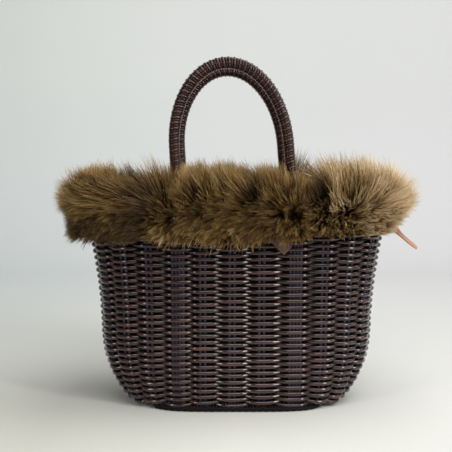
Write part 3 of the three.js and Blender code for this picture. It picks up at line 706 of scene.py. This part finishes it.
# Leather ties. Two flat straps of brown sueded leather, sewn in under the pelts. Their ends stick out from
# under the fur: the front one lies on the weave, and the right one narrows and twists as it hangs free.
tie_width, tie_thickness, tie_points, worn_edge = 11.0, 1.5, 9, 0.3
front_tie_width, front_tie_arc, front_tie_top, front_tie_run = tie_width - 0.4, 26.0, 184.0, 23.0
right_start, right_end = np.array([154.0, -6.0, 189.0]), np.array([187.4, -4.0, 156.4])
right_bow, right_slope = [-1.3, 0, -1.4], [0.69, 0, 0.72]
right_turn = ([0, 0.3, 0.55, 1], [48, 42, 20, 24])
right_narrow = ([0, 0.35, 0.5, 0.9, 1], [1, 0.95, 0.85, 0.75, 0.4])
# Sueding raises a short nap, so the straps are matt and soft. The front one has a darker copy of the leather,
# as painted shade.
tie_leather = raw_leather("Brown sueded leather", [(0.35, "#8d5f45"), (0.65, "#bd8a68")], 0.75)
front_strap_painted_shade = raw_leather(
    "Brown sueded leather, in painted shade", [(0.35, "#3c281e"), (0.65, "#5c4032")], 0.8)


def strap(name, middle, across, width, thickness, leather):
    """A flat strap with square edges along points, across a level that turns with it."""
    middle, across = np.asarray(middle, float), unit(np.asarray(across, float))
    ahead = unit(np.gradient(middle, axis=0))
    across = unit(across - ahead * (across * ahead).sum(-1, keepdims=True))
    upright = np.cross(across, ahead)
    corners = np.array([[-1, -1], [0, -1], [1, -1], [1, 1], [0, 1], [-1, 1]])
    rings = middle[:, None] + across[:, None] * corners[None, :, :1] * np.asarray(width)[:, None, None] / 2
    rings = rings + upright[:, None] * corners[None, :, 1:] * thickness / 2
    count, sides = rings.shape[:2]
    around = [(k, (k + 1) % sides) for k in range(sides)]
    faces = [(i + k, i + m, i + sides + m, i + sides + k)
             for i in range(0, (count - 1) * sides, sides) for k, m in around]
    faces += [tuple(range(sides))[::-1], tuple((count - 1) * sides + k for k in range(sides))]
    piece = faced(name, rings, faces, leather)
    bevel = piece.modifiers.new("Worn edges", "BEVEL")
    bevel.width, bevel.segments = worn_edge * mm, 2
    return piece


share = np.linspace(0, 1, tie_points)
run, off_wall = front_tie_run * share, skin_out + 0.6 + 0.9 * share + 2 * share**3
front_middle, front_outward = on_wall(front_tie_arc + run, front_tie_top - run, off_wall)
front_across = np.cross(front_outward, np.gradient(front_middle, axis=0))
front_tie = strap(
    "front_tie_strap", front_middle, front_across, np.full(tie_points, front_tie_width), tie_thickness,
    front_strap_painted_shade)
bow = np.sin(share * math.pi)[:, None]
right_middle = right_start + (right_end - right_start) * share[:, None] + bow * right_bow
turned = np.radians(np.interp(share, *right_turn))[:, None]
right_across = np.cos(turned) * [0, 1, 0] + np.sin(turned) * right_slope
right_width = tie_width * np.interp(share, *right_narrow)
right_tie = strap("right_tie_strap", right_middle, right_across, right_width, tie_thickness, tie_leather)
for face, tie in (("front", front_tie), ("right", right_tie)):
    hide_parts(f"{face}_tie")
    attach(tie, "basket")

# Fur. Dense olive brown hair with a dark undercoat and light tips grows on each skin. On the long sides it
# parts below the rim, up above and down below. On the short sides it fans out from a whorl near each seam.
hair_thickness, hair_points, hair_sides = 0.56, 4, 3
taper = np.array([1.0, 0.9, 0.62, 0.12])
outer_trim, inner_density = 52.0, 0.9
leg_room, farthest, past_farthest = 7.4, (184.0, 104.0), 0.4
tuft_closing, tuft_bend, coarse_tuft, fine_tuft = 0.8, 1.5, 150, 6
guard_share, guard_cling, tie_place = 0.14, 0.25, 40.0
lean_start, lean_gain, lie_flat, droop = 0.35, 0.75, 0.62, 0.07
seam_width, seam_short_width, tie_parting, leg_width, crest_place, crest_width = 6, 5, 9, 11, 5, 7
hollow_place, hollow_width, calm_place, calm_width = 10, 8, 16, 14
whorl_width, lift_width, end_width, broad_drift, fine_drift, tone_drift = 22, 40, 32, 15, 6, 26
parting_place, parting_width = 27, 9

# How far the hair is combed over the rim and along it, and how long it is, at places on the trim's section.
# Each band fades in between its first two places, and out between its last two.
rise_on_long_side = (
    [0, 6, 12, 18, 24, 29, 33, 37, 42, 50, 75], [-0.65, -0.55, -0.4, -0.2, 0, 0.3, 0.65, 0.8, 0.3, 0.1, 0.5])
flow_on_long_side = ([0, 8, 16, 28, 34, 40], [0.3, 0.45, 0.75, 0.7, 0.4, 0.15])
short_side_places = [0, 12, 22, 30, 36, 42, 50, 75]
pile = ([0, 8, 20, 28, 40, 46, 56, trim_length], [23, 29, 33, 37, 38, 34, 27, 20])
leg_band, crest_band = (14, 22, 36, 44), (22, 28, 40, 46)
hollow_band, painted_seam_band = (24, 30, 46, 52), (16, 22, 32, 38)

# What differs from pelt to pelt. Lengths are shares of the pile: at the lower edge, below the rim and on it,
# for guard hairs, and at the pelt's middle. Gold is added to a hair's tone, and painted shade is taken from
# it.
# The right pelt's higher gold is partly, and the gold added towards its end mostly, painted light from the
# right.
long_coat = {
    "rise": rise_on_long_side, "drift": (3.5, 22), "guard": 1.5, "end_length": 1.0, "end_gold_and_painted_light": 0.0,
    "painted_parting_shade": 0.22, "painted_low_shade": 0.0, "seam_flow": 0.55}
short_coat = {"drift": (2.5, 24), "guard": 1.16, "painted_parting_shade": 0.0, "seam_flow": -0.5}
coats = {
    "front": {
        **long_coat, "pieces": 3, "density": 1.9, "length": (0.68, 0.78, 1.0), "gold": -0.06, "way": -1},
    "right": {
        **short_coat, "pieces": 3, "density": 1.45, "length": (0.56, 0.64, 1.2), "gold": 0.18, "whorl": 80.0,
        "sweep": 0.93, "end_length": 0.7, "end_lift": 0.5, "end_gold_and_painted_light": 0.82, "painted_low_shade": 0.1,
        "rise": (short_side_places, [0.1, -0.15, 0.05, 0.5, 0.7, 0.3, 0.1, 0.5])},
    "rear": {**long_coat, "pieces": 2, "density": 1.3, "length": (0.7, 0.78, 1.0), "gold": -0.06, "way": 1},
    "left": {
        **short_coat, "pieces": 3, "density": 1.45, "length": (0.84, 0.62, 1.0), "gold": -0.1, "whorl": 58.0,
        "sweep": -0.85, "end_length": 0.82, "end_lift": 0.0, "end_gold_and_painted_light": 0.16, "painted_low_shade": 0.55,
        "rise": (short_side_places, [-0.4, -0.5, -0.2, 0.2, 0.45, 0.3, 0.1, 0.5])}}


def drift(arc, s, spacing, rng, channels):
    """Smooth random values over the pelt, as wide as the spacing."""
    u, v = (arc - arc.min()) / spacing, s / spacing
    grid = rng.normal(0, 1, (channels, int(u.max()) + 2, int(v.max()) + 2))
    i, k = u.astype(int), v.astype(int)
    p, q = u - i, v - k
    p, q = p * p * (3 - 2 * p), q * q * (3 - 2 * q)
    return (grid[:, i, k] * (1 - p) + grid[:, i + 1, k] * p) * (1 - q) + (
        grid[:, i, k + 1] * (1 - p) + grid[:, i + 1, k + 1] * p) * q


def patch(at, centre, width):
    """A share that is 1 at a centre and fades away over a width."""
    return np.exp(-(((at - centre) / width) ** 2))


def gather_tufts(paths, step, pull, rng):
    """Draws the hairs' tips towards the nearest of a few leading hairs, as hair clings in tufts."""
    roots = paths[:, 0]
    leaders = rng.choice(len(roots), max(1, len(roots) // step), replace=False)
    tree = KDTree(len(leaders))
    for k, leader in enumerate(leaders):
        tree.insert(roots[leader], k)
    tree.balance()
    tuft = np.array([tree.find(root)[1] for root in roots])
    nearest = leaders[tuft]
    t = np.linspace(0, 1, hair_points)[None, :, None]
    target = paths[nearest] + (roots - roots[nearest])[:, None] * (1 - tuft_closing * t)
    return paths + (target - paths) * pull[:, None, None] * t**tuft_bend, tuft


def hold_in(paths):
    """Bends back what would stand out past the farthest places across and deep from the basket's middle."""
    for axis, limit in enumerate(farthest):
        far = np.abs(paths[..., axis])
        held = np.sign(paths[..., axis]) * (limit + past_farthest * (far - limit))
        paths[..., axis] = np.where(far > limit, held, paths[..., axis])
    return paths


def part_round_legs(paths):
    """Bends the hairs round the handle legs, which stand in the fur."""
    up = np.maximum(paths[..., 2] - pivot_height, 0)
    drop = np.clip(1 - up / (spring_height - pivot_height), 0, 1)
    shift, leg_y = leaned(up)
    for hand in (-1, 1):
        for side in (-1, 1):
            centre = np.stack([hand * half_span(drop) - shift, side * leg_y], -1)
            away = paths[..., :2] - centre
            far = np.linalg.norm(away, axis=-1, keepdims=True)
            held = (far < leg_room) & (paths[..., 2:] > skin_top - 0.5)
            paths[..., :2] = np.where(held, centre + away / np.maximum(far, 0.01) * leg_room, paths[..., :2])
    return paths


def comb(face, arc, s, rng):
    """How each hair is combed along the rim and over it, and its share in parting, crest and hollow."""
    coat, (middle_arc, half) = coats[face], pelts[face]
    rel = arc - middle_arc
    by_leg, crest, hollow = np.zeros((3, len(arc)))
    unrest, spacing = coat["drift"]
    level = np.interp(s + unrest * drift(arc, s, spacing, rng, 1)[0], *coat["rise"])
    if face in ("front", "rear"):
        from_middle = np.abs((arc + belly_quarter) % half_around - belly_quarter)
        by_leg = patch(from_middle, leg_arc, leg_width) * np.interp(s, leg_band, [0, 1, 1, 0])
        level = level + 0.6 * by_leg
        flow = np.interp(s, *flow_on_long_side) * coat["way"] * (1 - by_leg)
        crest = patch(rel, crest_place - half, crest_width) * np.interp(s, crest_band, [0, 1, 1, 0])
    else:
        to_whorls = np.stack([rel + coat["whorl"], coat["whorl"] - rel]) / whorl_width
        turned = np.clip(to_whorls, -1, 1)
        flow = coat["sweep"] * (turned[0] - turned[1]) / 2 * np.interp(np.abs(rel), [35, 55], [0.67, 1])
        level = level + coat["end_lift"] * patch(rel, 0, lift_width) * np.interp(s, [10, 22], [1, 0])
    if face == "right":
        hollow = patch(rel, hollow_place - half, hollow_width) * np.interp(s, hollow_band, [0, 1, 1, 0])
        flow = flow * (1 - 0.6 * patch(rel, calm_place - half, calm_width))
    flow = flow + np.sign(rel) * coat["seam_flow"] * np.exp((np.abs(rel) - half) / seam_width)
    wander = 0.15 * drift(arc, s, broad_drift, rng, 2) + 0.24 * drift(arc, s, fine_drift, rng, 2)
    return np.stack([flow + wander[0], level + 0.7 * wander[1]], -1), by_leg, crest, hollow


def grow(face, seed):
    """The hairs of one pelt as paths from root to tip, with the rim's direction, girth, tone and arc."""
    rng = np.random.default_rng(seed)
    coat, (middle_arc, half) = coats[face], pelts[face]
    outer = int(2 * half * outer_trim * coat["density"])
    count = outer + int(2 * half * (trim_length - outer_trim) * inner_density)
    arc = rng.uniform(middle_arc - half, middle_arc + half, count)
    s = np.concatenate([
        rng.uniform(0, outer_trim, outer), rng.uniform(outer_trim, trim_length, count - outer)])
    rel, seam = arc - middle_arc, half - np.abs(arc - middle_arc)
    out, z, normal_out, normal_up = trim(s)
    root, outward = on_wall(arc, z, out)
    up = np.array([0.0, 0.0, 1.0])
    along = quarter_turned(outward)
    normal = outward * normal_out[:, None] + up * normal_up[:, None]
    over = outward * -normal_up[:, None] + up * normal_out[:, None]

    lie, by_leg, crest, hollow = comb(face, arc, s, rng)
    flat = np.linalg.norm(lie, axis=-1, keepdims=True)
    lie, flat = lie / np.maximum(flat, 1), np.minimum(flat, 1)
    length = np.interp(s, *pile) * np.interp(s, [6, 20, 34], coat["length"])
    length = length * (1 - 0.4 * np.exp(-seam / seam_short_width))
    at_end = patch(rel, 0, end_width) * np.interp(s, [14, 34], [0, 1])
    length = length * (1 + (coat["end_length"] - 1) * at_end)
    length = length * (1 - 0.1 * by_leg + 0.6 * crest - 0.65 * hollow) * rng.uniform(0.76, 1.1, count)
    guard = rng.random(count) < guard_share
    length = np.where(guard, length * np.interp(s, [3, 12], [coat["guard"], 1.1]), length)
    if face == "front":
        length = length * (1 - 0.5 * patch(arc, tie_place, tie_parting) * np.interp(s, [10, 18], [1, 0]))

    stray = rng.normal(0, 0.12, (count, 3)) * np.where(guard, 1.3, 1)[:, None]
    paths = [root]
    for i in range(hair_points - 1):
        t = (i + 0.5) / (hair_points - 1)
        bend = lean_start + lean_gain * t
        way = normal * (1 - lie_flat * flat * bend) + (along * lie[:, :1] + over * lie[:, 1:]) * bend
        way = way + stray * (0.4 + t) - up * droop * t
        paths.append(paths[-1] + unit(way) * (length / (hair_points - 1))[:, None])
    loose = np.where(guard, guard_cling, 1)
    paths, _ = gather_tufts(np.stack(paths, 1), coarse_tuft, rng.uniform(0.05, 0.2, count) * loose, rng)
    cling = loose * np.interp(s, [24, 34], [1, 0.42])
    paths, tuft = gather_tufts(paths, fine_tuft, rng.uniform(0.55, 1.0, count) * cling, rng)

    tone = 0.5 + 0.17 * rng.normal(0, 1, tuft.max() + 1)[tuft] + 0.09 * rng.normal(0, 1, count)
    # Towards a short side's end gold is added, on the right pelt mostly as painted light from the right. The
    # right pelt's hollow is painted darker, as painted shade.
    tone = tone + coat["end_gold_and_painted_light"] * np.clip(1.2 - np.abs(rel) / 60, 0, 1) - 0.9 * hollow
    # Painted shade: the long sides' hair is painted darker at the parting.
    tone = tone - coat["painted_parting_shade"] * patch(s, parting_place, parting_width)
    # Painted shade: the short sides' hair is painted darker low on the trim.
    tone = tone - coat["painted_low_shade"] * np.interp(s, [16, 30], [1, 0])
    # Painted shade: near the seams, where the hair parts, it is painted darker.
    tone = tone - 0.3 * np.exp(-seam / seam_width) * np.interp(s, painted_seam_band, [0, 1, 1, 0])
    tone = np.clip(tone + coat["gold"] + 0.1 * drift(arc, s, tone_drift, rng, 1)[0] + 0.12 * guard, 0, 1)
    girth = rng.uniform(0.65, 1.25, count)[:, None] * taper
    return part_round_legs(hold_in(paths)), along, girth, tone, arc


# Each hair is nearly black at the root and light at the tip, so the pile looks deep. Its tone turns it from
# greyish brown to gold and pale buff; the palest buff shows mostly at the right pelt's end, as painted light.
# The map holds the tone across and the height up.
fur_finish, tree = finish_material("Dyed fur, dark at the root and light at the tip")
place = add(tree, "ShaderNodeSeparateXYZ", {"Vector": add(tree, "ShaderNodeUVMap", uv_map="OFBake")["UV"]})
greyish, golden, pale = (ramp(tree, place["Y"], stops) for stops in (
    [(0.0, "#090604"), (0.44, "#1a120d"), (0.72, "#463320"), (1.0, "#806642")],
    [(0.0, "#0b0703"), (0.44, "#2b1d09"), (0.72, "#88632a"), (1.0, "#d9b670")],
    [(0.0, "#1c1309"), (0.3, "#7a5c33"), (0.65, "#d9b98a"), (1.0, "#fff0d2")]))
brown = mix(tree, ranged(tree, place["X"], (0.0, 0.75)), greyish, golden)
lightened = mix(tree, ranged(tree, place["X"], (0.7, 1.0)), brown, pale)
surface(tree, {"Base Color": lightened, "Roughness": 0.6, "Specular IOR Level": 0.22})

map_edge, map_share, map_width = 0.02, 0.95, 0.008
for seed, (face, coat) in enumerate(coats.items(), 21):
    paths, facing, girth, tone, arc = grow(face, seed)
    for part, chosen in enumerate(np.array_split(np.argsort(arc), coat["pieces"])):
        marks = {"height": np.tile(np.linspace(0, 1, hair_points), len(chosen)),
                 "tone": np.repeat(tone[chosen], hair_points)}
        piece = strands(
            f"{face}_fur_{part + 1}", paths[chosen], hair_thickness, fur_finish,
            np.repeat(facing[chosen][:, None], hair_points, 1), hair_sides, girth=girth[chosen], marks=marks)
        turn = 2 * math.pi * corner_values(piece.data, "around")
        tone_across = map_edge + map_share * corner_values(piece.data, "tone") + map_width * np.cos(turn)
        height_up = map_edge + map_share * corner_values(piece.data, "height") + map_width * np.sin(turn)
        flat_map(piece.data, tone_across, height_up)
        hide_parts(f"{face}_pelt_fur")
        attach(piece, "basket")

# The view. The bag stands on a table as for a catalogue photograph: a long lens a metre away, a little above
# the rim, looks slightly down.
view_distance, view_height, view_shift, view_down = 1012.0, 267.0, -10.5, 4.97
lens_view = bpy.data.cameras.new("View")
lens_view.sensor_width, lens_view.lens = 36.0, 77.9
camera = set_out("View", lens_view)
camera.location = (view_shift * mm, -view_distance * mm, view_height * mm)
camera.rotation_euler = (math.radians(90 - view_down), 0, 0)
bpy.context.scene.camera = camera

# Floor and lights, in metres. A matt paper sweep, soft lights above and in front, and a narrow window on
# either side, which gives the strands their glints. The pale room past the paper hardly lights the bag.
sweep_front, sweep_bend, sweep_radius, sweep_top, sweep_half = -1.3, 0.95, 0.35, 2.2, 2.2
curve = [(sweep_bend + sweep_radius * math.sin(t), sweep_radius - sweep_radius * math.cos(t))
         for t in np.linspace(0.1, math.pi / 2, 12)]
profile = [(sweep_front, 0.0), (sweep_bend, 0.0), *curve, (sweep_bend + sweep_radius, sweep_top)]
corners = [(x, y, z) for y, z in profile for x in (-sweep_half, sweep_half)]
strips = [(i, i + 1, i + 3, i + 2) for i in range(0, 2 * (len(profile) - 1), 2)]
# Uncoated paper is even and has no shine. Light and shade are painted on it: it is darker to the left and
# towards the camera, and its colour changes from near to far and up.
paper, tree = finish_material("Pale paper sweep, matt")
place = add(tree, "ShaderNodeSeparateXYZ", {"Vector": add(tree, "ShaderNodeTexCoord")["Object"]})
across, behind, above, fore = (ranged(tree, place[axis], given) for axis, given in (
    ("X", (-0.45, 0.45)), ("Y", (-0.05, 0.9)), ("Z", (0.0, 0.42)), ("Y", (-0.3, -0.8))))
near, far, top = (ramp(tree, across, stops) for stops in (
    [(0.3, "#cacac0"), (0.7, "#d9d9d3"), (0.5, "#dfded6")],
    [(0.14, "#dce1e1"), (0.83, "#e1e1e1")],
    [(0.14, "#e6e9e5"), (0.83, "#e0e1e0")]))
paper_painted_light = mix(tree, behind, near, mix(tree, above, far, top))
surface(tree, {"Base Color": mix(tree, fore, paper_painted_light, linear("#8e8e8a")), "Roughness": 0.9})
floor = faced("floor", np.array(corners) / mm, strips, paper)
floor.data.shade_smooth()

world = bpy.data.worlds.new("Room light")
world.use_nodes = True
tree = world.node_tree
tree.nodes.clear()
seen = add(tree, "ShaderNodeLightPath")["Is Camera Ray"]
fill, wall_colour = (
    add(tree, "ShaderNodeBackground", {"Color": linear(code), "Strength": strength})["Background"]
    for code, strength in (("#ffffff", 0.12), ("#dcdfdc", 1.0)))
room = tree.nodes.new("ShaderNodeMixShader")
for socket, value in zip(room.inputs, (seen, fill, wall_colour)):
    tree.links.new(value, socket)
add(tree, "ShaderNodeOutputWorld", {"Surface": room.outputs[0]})
bpy.context.scene.world = world


def window(name, place, aim, size, power):
    """A soft rectangular light that faces a point."""
    light = bpy.data.lights.new(name, "AREA")
    light.shape, light.size, light.size_y, light.energy = "RECTANGLE", *size, power
    lamp = set_out(name, light)
    lamp.location = place
    lamp.rotation_euler = (Vector(aim) - Vector(place)).to_track_quat("-Z", "Y").to_euler()


window("Window left", (-1.0, -1.05, 0.5), (0, 0, 0.15), (0.16, 0.8), 5.6)
window("Window right", (1.1, -0.95, 0.55), (0, 0, 0.15), (0.18, 0.9), 11)
window("Window side", (1.4, 0.0, 0.9), (0.15, 0, 0.2), (0.5, 0.8), 4)
window("Window front", (0.3, -1.4, 1.4), (0, 0, 0.15), (1.2, 0.7), 10.5)
window("Ceiling", (0.35, -0.1, 1.6), (0.05, 0, 0.1), (1.5, 1.2), 18)

bpy.context.scene.view_settings.view_transform = "Standard"
